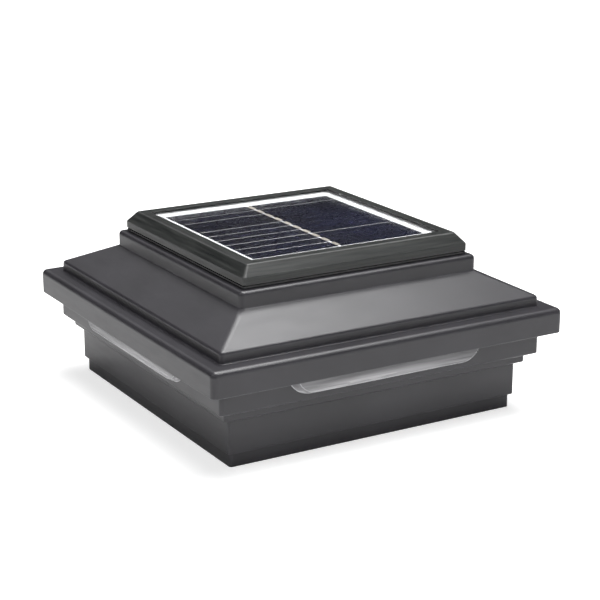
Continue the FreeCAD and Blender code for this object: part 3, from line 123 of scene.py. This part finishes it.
class Recipe:
    """A material's node tree, with short calls for the nodes that the looks below are made of."""

    def __init__(self, name):
        self.material = bpy.data.materials.new(name)
        self.material.use_nodes = True
        self.tree = self.material.node_tree
        self.shader = self.tree.nodes["Principled BSDF"]
        self.place = self.node("ShaderNodeTexCoord").outputs["Object"]

    def node(self, kind, **settings):
        made = self.tree.nodes.new(kind)
        for name, value in settings.items():
            setattr(made, name, value)
        return made

    def link(self, source, target):
        self.tree.links.new(source, target)

    def feed(self, socket, value):
        """Links a socket's output, or sets a plain value. A colour of three numbers gets its fourth."""
        if isinstance(value, bpy.types.NodeSocket):
            self.link(value, socket)
        elif socket.type == "RGBA":
            socket.default_value = (*value, 1.0)
        else:
            socket.default_value = value

    def stretched(self, scale):
        """Object coordinates, scaled along each axis."""
        mapping = self.node("ShaderNodeMapping")
        self.link(self.place, mapping.inputs["Vector"])
        mapping.inputs["Scale"].default_value = scale
        return mapping.outputs["Vector"]

    def noise(self, scale, detail=4.0, place=None):
        made = self.node("ShaderNodeTexNoise")
        self.link(place or self.place, made.inputs["Vector"])
        made.inputs["Scale"].default_value = scale
        made.inputs["Detail"].default_value = detail
        made.inputs["Roughness"].default_value = NOISE_ROUGHNESS
        return made.outputs["Fac"]

    def voronoi(self, scale, output, place=None, feature="F1"):
        made = self.node("ShaderNodeTexVoronoi", feature=feature)
        self.link(place or self.place, made.inputs["Vector"])
        made.inputs["Scale"].default_value = scale
        return made.outputs[output]

    def spread(self, value, low, high, out_low=0.0, out_high=1.0):
        """Maps a value from one range to another, held at the ends."""
        made = self.node("ShaderNodeMapRange", clamp=True)
        self.link(value, made.inputs["Value"])
        made.inputs["From Min"].default_value = low
        made.inputs["From Max"].default_value = high
        made.inputs["To Min"].default_value = out_low
        made.inputs["To Max"].default_value = out_high
        return made.outputs["Result"]

    def math(self, kind, first, second=0.0):
        made = self.node("ShaderNodeMath", operation=kind)
        self.feed(made.inputs[0], first)
        self.feed(made.inputs[1], second)
        return made.outputs[0]

    def add(self, first, second):
        return self.math("ADD", first, second)

    def times(self, first, second):
        return self.math("MULTIPLY", first, second)

    def size(self, value):
        """The value without its sign."""
        return self.math("ABSOLUTE", value)

    def rest(self, share):
        """What a share leaves of 1."""
        return self.math("SUBTRACT", 1.0, share)

    def mix(self, share, first, second):
        made = self.node("ShaderNodeMix", data_type="RGBA")
        self.feed(made.inputs["Factor"], share)
        self.feed(made.inputs["A"], first)
        self.feed(made.inputs["B"], second)
        return made.outputs["Result"]

    def axes(self, vector=None):
        made = self.node("ShaderNodeSeparateXYZ")
        self.link(vector or self.place, made.inputs[0])
        return made.outputs["X"], made.outputs["Y"], made.outputs["Z"]

    def bump(self, height, strength, depth, below=None):
        made = self.node("ShaderNodeBump")
        self.link(height, made.inputs["Height"])
        made.inputs["Strength"].default_value = strength
        made.inputs["Distance"].default_value = depth
        if below is not None:
            self.link(below, made.inputs["Normal"])
        return made.outputs["Normal"]

    def edges(self, radius):
        """1 on the object's sharp edges and 0 on its flats, from how far a bevel would turn the surface."""
        bevel = self.node("ShaderNodeBevel", samples=EDGE_SAMPLES)
        bevel.inputs["Radius"].default_value = radius
        surface = self.node("ShaderNodeNewGeometry")
        turn = self.node("ShaderNodeVectorMath", operation="DISTANCE")
        self.link(bevel.outputs["Normal"], turn.inputs[0])
        self.link(surface.outputs["Normal"], turn.inputs[1])
        return self.spread(turn.outputs["Value"], EDGE_FAINT, EDGE_FULL)

    def set(self, **values):
        """Sockets of the main shader by name, with spaces written as underscores."""
        for name, value in values.items():
            self.feed(self.shader.inputs[name.replace("_", " ")], value)
        return self.material


# ---------------------------------------------------------------- looks


def moulded(name, dark, light, rough, grain=0.05, wear_and_highlight_share=0.35):
    """Injection-moulded plastic: faint clouding, a fine sparkle texture, and edges paler, partly rubbed wear
    and partly a painted highlight.
    """
    look = Recipe(name)
    cloud = look.spread(look.noise(scale=22.0, detail=5.0), low=0.35, high=0.65)
    fine = look.noise(scale=2600.0, detail=2.0)
    streak = look.noise(scale=60.0, place=look.stretched(STREAK_STRETCH))
    patches = look.spread(look.noise(scale=140.0), low=0.3, high=0.7)
    # edges paler and rougher, partly from rubbed wear and partly as a painted highlight
    wear_and_highlight = look.times(look.edges(radius=0.0007), patches)
    colour = look.mix(cloud, dark, light)
    colour = look.mix(look.times(wear_and_highlight, wear_and_highlight_share), colour, scaled(light, WORN_AND_HIGHLIT_LIGHTER))
    streaked = look.spread(streak, low=0.3, high=0.7, out_low=rough - 0.03, out_high=rough + 0.04)
    roughness = look.add(streaked, look.times(wear_and_highlight, RUBBED_ROUGHER))
    bump = look.bump(fine, strength=grain, depth=0.00004)
    bump = look.bump(cloud, strength=0.02, depth=0.0004, below=bump)
    return look.set(Base_Color=colour, Roughness=roughness, Normal=bump, IOR=PLASTIC_IOR)


def brushed_bezel():
    """Glossier black plastic with a fine grain drawn along each side of the frame, and edges paler, partly
    from wear and partly as a painted highlight.
    """
    look = Recipe("bezel_black")
    surface = look.node("ShaderNodeNewGeometry")
    across, along, _ = look.axes(surface.outputs["Normal"])
    faces_x = look.math("GREATER_THAN", look.size(across), look.size(along))
    on_x = look.noise(scale=900.0, detail=5.0, place=look.stretched(GRAIN_ALONG_Y))
    on_y = look.noise(scale=900.0, detail=5.0, place=look.stretched(GRAIN_ALONG_X))
    grain = look.add(look.times(on_x, faces_x), look.times(on_y, look.rest(faces_x)))
    patch = look.spread(look.noise(scale=45.0), low=0.42, high=0.62)
    # edges paler, partly from wear and partly as a painted highlight
    bezel_wear_and_highlight = look.times(look.edges(radius=0.0006), BEZEL_WORN_AND_HIGHLIT_SHARE)
    colour = look.mix(look.spread(grain, low=0.35, high=0.7), BEZEL_DARK, BEZEL_LIGHT)
    colour = look.mix(bezel_wear_and_highlight, colour, BEZEL_WORN_AND_HIGHLIT)
    brushed = look.spread(grain, low=0.3, high=0.7, out_low=0.27, out_high=0.42)
    roughness = look.add(brushed, look.times(patch, PATCH_ROUGHER))
    bump = look.bump(grain, strength=0.18, depth=0.00005)
    return look.set(Base_Color=colour, Roughness=roughness, Specular_IOR_Level=0.38, Normal=bump,
                    IOR=PLASTIC_IOR)


def smoky_lens():
    """Smoked, half clear plastic with flow lines along its length. Its paler tone is painted light:
    reflection streaks along the lines, light toward one end, which is also rougher, and a highlight on its
    edges, with less of it toward its top as painted shade of the overhang.
    """
    look = Recipe("smoky_lens")
    place_x, place_y, place_z = look.axes()
    on_side = look.math("GREATER_THAN", look.size(place_x), look.size(place_y))
    on_front = look.rest(on_side)
    along = look.add(look.times(place_y, on_side), look.times(place_x, on_front))
    along_y = look.noise(scale=430.0, detail=3.0, place=look.stretched(STREAKS_ALONG_Y))
    along_x = look.noise(scale=430.0, detail=3.0, place=look.stretched(STREAKS_ALONG_X))
    lines = look.add(look.times(along_y, on_side), look.times(along_x, on_front))
    # painted light: paler and rougher toward the left end of a front or back lens and the front end of a
    # side lens
    painted_end_light = look.spread(along, low=END_LIGHT_FULL, high=END_LIGHT_GONE, out_low=1.0, out_high=0.0)
    # paler streaks along the flow lines are painted reflections; the same lines also give a real bump
    painted_streaks = look.spread(lines, low=0.38, high=0.62, out_low=0.0, out_high=0.5)
    lens_paling = look.add(painted_streaks, look.times(painted_end_light, END_LIGHT_SHARE))
    # painted shade of the overhang: the lens keeps its pale tone at its foot and darkens toward its top
    painted_overhang_shade = look.spread(place_z, low=OVERHANG_SHADE_STARTS, high=OVERHANG_SHADE_FULL, out_low=1.0, out_high=0.3)
    lens_paling = look.times(lens_paling, painted_overhang_shade)
    colour = look.mix(lens_paling, LENS_CLEAR, LENS_PALE)
    # a painted highlight, pale along the lens's edges
    colour = look.mix(look.times(look.edges(radius=0.0006), LENS_EDGE_HIGHLIGHT_SHARE), colour, LENS_EDGE_HIGHLIGHT)
    roughness = look.spread(lens_paling, low=0.0, high=1.0, out_low=0.16, out_high=0.34)
    bump = look.bump(lines, strength=0.12, depth=0.00006)
    return look.set(Base_Color=colour, Roughness=roughness, IOR=LENS_IOR, Transmission_Weight=0.12,
                    Normal=bump)


def silicon():
    """Cut silicon strips: near black with crystal flakes, bluer in places, and hair-thin silver fingers."""
    look = Recipe("silicon_cells")
    flakes = look.voronoi(scale=900.0, output="Color", place=look.stretched(FLAKE_STRETCH))
    tone, _, _ = look.axes(flakes)
    mottle = look.spread(look.noise(scale=1500.0), low=0.35, high=0.7)
    place_x, place_y, _ = look.axes()
    toward_corner = look.spread(look.math("SUBTRACT", place_x, place_y), low=BLUE_FROM, high=BLUE_TO)
    patches = look.spread(look.noise(scale=30.0, detail=3.0), low=0.35, high=0.65)
    blue = look.times(look.add(toward_corner, patches), BLUE_SHARE)
    base = look.mix(blue, CELL_BLACK, CELL_BLUE)
    base = look.mix(look.times(tone, FLAKE_SHARE), base, CELL_FLAKE)
    base = look.mix(look.times(mottle, MOTTLE_SHARE), base, CELL_MOTTLE)
    wave = look.math("PINGPONG", place_y, FINGER_PITCH / 2)
    finger = look.spread(wave, low=FINGER_FULL, high=FINGER_FADED, out_low=1.0, out_high=0.0)
    base = look.mix(look.times(finger, FINGER_SHARE), base, CELL_FINGER)
    roughness = look.spread(tone, low=0.0, high=1.0, out_low=0.25, out_high=0.45)
    return look.set(Base_Color=base, Roughness=roughness, Specular_IOR_Level=0.05)


def clear_sheet():
    """Clear plastic with faint smudges, which doesn't mirror what it faces head on."""
    look = Recipe("clear_sheet")
    smudge = look.noise(scale=55.0, detail=5.0)
    roughness = look.spread(smudge, low=0.4, high=0.75, out_low=0.03, out_high=0.10)
    return look.set(Base_Color=SHEET_TINT, Roughness=roughness, IOR=SHEET_IOR, Transmission_Weight=1.0,
                    Specular_Tint=BLACK)


def tinned(name, colour, rough, metal=1.0):
    """Plated or tinned metal, a little uneven in tone and gloss."""
    look = Recipe(name)
    blots = look.noise(scale=500.0)
    tone = look.mix(look.spread(blots, low=0.35, high=0.65), scaled(colour, DULLER_METAL), colour)
    roughness = look.spread(blots, low=0.3, high=0.7, out_low=rough - 0.08, out_high=rough + 0.12)
    bump = look.bump(blots, strength=0.2, depth=0.0001)
    return look.set(Base_Color=tone, Metallic=metal, Roughness=roughness, Normal=bump)


def board_mask():
    """Green solder mask over a glass weave, with paler tracks under it."""
    look = Recipe("board_mask")
    weave = look.noise(scale=1400.0, detail=2.0, place=look.stretched(WEAVE_STRETCH))
    tracks = look.voronoi(scale=180.0, output="Distance", feature="DISTANCE_TO_EDGE")
    line = look.spread(tracks, low=0.0, high=0.08, out_low=1.0, out_high=0.0)
    colour = look.mix(look.spread(weave, low=0.3, high=0.7), MASK_DARK, MASK_LIGHT)
    colour = look.mix(look.times(line, TRACK_SHARE), colour, MASK_TRACK)
    bump = look.bump(line, strength=0.1, depth=0.0001)
    return look.set(Base_Color=colour, Roughness=0.3, Normal=bump)


def soft(name, colour, rough, scale=500.0, grain=0.15, shine=0.5):
    """Rubber, nylon, wrap and sheet: two close tones with a fine matt texture."""
    look = Recipe(name)
    cloud = look.noise(scale / 8)
    fine = look.noise(scale * 3, detail=3.0)
    tone = look.mix(look.spread(cloud, low=0.3, high=0.7), scaled(colour, DARKER_TONE), colour)
    roughness = look.spread(fine, low=0.3, high=0.7, out_low=rough - 0.06, out_high=rough + 0.06)
    bump = look.bump(fine, strength=grain, depth=0.00006)
    return look.set(Base_Color=tone, Roughness=roughness, Specular_IOR_Level=shine, Normal=bump)


LOOKS = {
    "shell_plastic": lambda: moulded("shell_black", SHELL_DARK, SHELL_LIGHT, rough=0.36),
    "inner_plastic": lambda: moulded("inner_black", INNER_DARK, INNER_LIGHT, rough=0.48, grain=0.12),
    "knob_plastic": lambda: moulded("knob_grey", KNOB_DARK, KNOB_LIGHT, rough=0.45, grain=0.1, wear_and_highlight_share=0.1),
    "bezel_plastic": brushed_bezel,
    "lens_plastic": smoky_lens,
    "reflector_plastic": lambda: soft("reflector_white", (0.82, 0.82, 0.82), rough=0.35, scale=300.0,
                                      grain=0.05),
    "clear_sheet": clear_sheet,
    "white_sheet": lambda: soft("back_white", (0.60, 0.60, 0.61), rough=0.6, scale=400.0, grain=0.1,
                                shine=0.1),
    "silicon": silicon,
    "tinned_ribbon": lambda: tinned("tinned_ribbon", (0.50, 0.47, 0.42), rough=0.35, metal=0.35),
    "seal_rubber": lambda: soft("seal_rubber", (0.022, 0.022, 0.022), rough=0.7),
    "steel": lambda: tinned("plated_steel", (0.62, 0.62, 0.60), rough=0.3),
    "contact_metal": lambda: tinned("nickel", (0.66, 0.63, 0.56), rough=0.25),
    "circuit_board": board_mask,
    "chip_epoxy": lambda: soft("chip_epoxy", (0.025, 0.025, 0.026), rough=0.5),
    "ferrite": lambda: soft("ferrite", (0.07, 0.07, 0.072), rough=0.6),
    "can_aluminium": lambda: tinned("can_aluminium", (0.75, 0.75, 0.76), rough=0.3),
    "socket_nylon": lambda: soft("socket_nylon", (0.70, 0.66, 0.55), rough=0.5),
    "led_package": lambda: soft("led_phosphor", (0.80, 0.62, 0.12), rough=0.35),
    "cell_wrap": lambda: soft("cell_wrap", (0.03, 0.16, 0.08), rough=0.28, scale=200.0, grain=0.05),
    "lead_jacket": lambda: soft("lead_jacket", (0.03, 0.03, 0.03), rough=0.5),
}


def dress_frame():
    """Gives every piece the look of its material slot. Pieces of one slot share one material."""
    made = {}
    for entry in frame["record"]["subparts"]:
        slot = entry["material_slot"]
        if slot not in made:
            made[slot] = LOOKS[slot]()
        piece = nodes[entry["node"]]
        piece.data.materials.clear()
        piece.data.materials.append(made[slot])


# ---------------------------------------------------------------- stage, light and camera


def pale_floor():
    """A wide sheet of matt white, clear from below, which the camera alone sees brighter."""
    half = FLOOR_HALF
    mesh = bpy.data.meshes.new("floor")
    corners = [(-half, -half, 0), (half, -half, 0), (half, half, 0), (-half, half, 0)]
    mesh.from_pydata(corners, [], [(0, 1, 2, 3)])
    floor = bpy.data.objects.new("floor", mesh)
    bpy.context.scene.collection.objects.link(floor)
    look = Recipe("floor_white")
    tone = look.mix(look.noise(scale=3.0), FLOOR_DARK, FLOOR_LIGHT)
    seen = look.node("ShaderNodeLightPath").outputs["Is Camera Ray"]
    away = look.node("ShaderNodeVectorMath", operation="LENGTH")
    look.link(look.place, away.inputs[0])
    lift = look.spread(away.outputs["Value"], LIFT_FROM, LIFT_TO, LIFT_NEAR, LIFT_FAR)
    look.set(Base_Color=tone, Roughness=0.9, Specular_IOR_Level=0.1, Emission_Color=WHITE,
             Emission_Strength=look.times(seen, lift))
    clear = look.node("ShaderNodeBsdfTransparent")
    sides = look.node("ShaderNodeMixShader")
    look.link(look.node("ShaderNodeNewGeometry").outputs["Backfacing"], sides.inputs["Fac"])
    look.link(look.shader.outputs[0], sides.inputs[1])
    look.link(clear.outputs[0], sides.inputs[2])
    look.link(sides.outputs[0], look.tree.nodes["Material Output"].inputs["Surface"])
    floor.data.materials.append(look.material)
    floor.visible_shadow = False


def studio_air():
    """A dim room, lighter overhead. Where the camera sees past the floor, it is plain white."""
    world = bpy.data.worlds.new("studio")
    world.use_nodes = True
    tree = world.node_tree
    place = tree.nodes.new("ShaderNodeTexCoord")
    axes = tree.nodes.new("ShaderNodeSeparateXYZ")
    tree.links.new(place.outputs["Generated"], axes.inputs[0])
    rise = tree.nodes.new("ShaderNodeMapRange")
    tree.links.new(axes.outputs["Z"], rise.inputs["Value"])
    rise.inputs["From Min"].default_value = ROOM_RISES_FROM
    rise.inputs["From Max"].default_value = ROOM_RISES_TO
    rise.inputs["To Min"].default_value = ROOM_LOW
    rise.inputs["To Max"].default_value = ROOM_HIGH
    room = tree.nodes["Background"]
    room.inputs["Color"].default_value = ROOM_COLOUR
    tree.links.new(rise.outputs["Result"], room.inputs["Strength"])
    white = tree.nodes.new("ShaderNodeBackground")
    white.inputs["Color"].default_value = (*WHITE, 1.0)
    path = tree.nodes.new("ShaderNodeLightPath")
    blend = tree.nodes.new("ShaderNodeMixShader")
    tree.links.new(path.outputs["Is Camera Ray"], blend.inputs["Fac"])
    tree.links.new(room.outputs[0], blend.inputs[1])
    tree.links.new(white.outputs[0], blend.inputs[2])
    tree.links.new(blend.outputs[0], tree.nodes["World Output"].inputs["Surface"])
    bpy.context.scene.world = world
    bpy.context.scene.view_settings.view_transform = "Standard"


def softbox(name, place, aim, width, height, power):
    light = bpy.data.lights.new(name, "AREA")
    light.shape = "RECTANGLE"
    light.size = width
    light.size_y = height
    light.energy = power
    lamp = bpy.data.objects.new(name, light)
    lamp.location = place
    lamp.rotation_euler = (Vector(aim) - Vector(place)).to_track_quat("-Z", "Y").to_euler()
    bpy.context.scene.collection.objects.link(lamp)
    return lamp


def studio_lights():
    """Soft boxes all round. The front left one makes no mirror images, which would wash out the panel."""
    lamps = {entry[0]: softbox(*entry) for entry in LAMPS}
    lamps["front_left_fill"].visible_glossy = False
    lamps["front_left_fill"].visible_transmission = False


def studio_camera():
    """Looks at the target from the front left, a little above, with a long lens and a slight roll."""
    level = math.cos(CAMERA_ELEVATION)
    back = Vector((math.sin(CAMERA_AZIMUTH) * level, -math.cos(CAMERA_AZIMUTH) * level,
                   math.sin(CAMERA_ELEVATION)))
    right = Vector((math.cos(CAMERA_AZIMUTH), math.sin(CAMERA_AZIMUTH), 0.0))
    up = back.cross(right)
    turned_right = right * math.cos(CAMERA_ROLL) + up * math.sin(CAMERA_ROLL)
    turned_up = up * math.cos(CAMERA_ROLL) - right * math.sin(CAMERA_ROLL)
    place = CAMERA_TARGET + back * CAMERA_DISTANCE
    lens = bpy.data.cameras.new("camera")
    lens.lens = FOCAL_LENGTH
    lens.sensor_width = SENSOR_WIDTH
    lens.clip_start = CLIP_START
    camera = bpy.data.objects.new("camera", lens)
    camera.matrix_world = Matrix((
        (turned_right.x, turned_up.x, back.x, place.x),
        (turned_right.y, turned_up.y, back.y, place.y),
        (turned_right.z, turned_up.z, back.z, place.z),
        (0, 0, 0, 1)))
    bpy.context.scene.collection.objects.link(camera)
    bpy.context.scene.camera = camera


dress_frame()
nodes["panel_cover"].visible_shadow = False  # the lamps light the cells through the clear sheet
pale_floor()
studio_air()
studio_lights()
studio_camera()
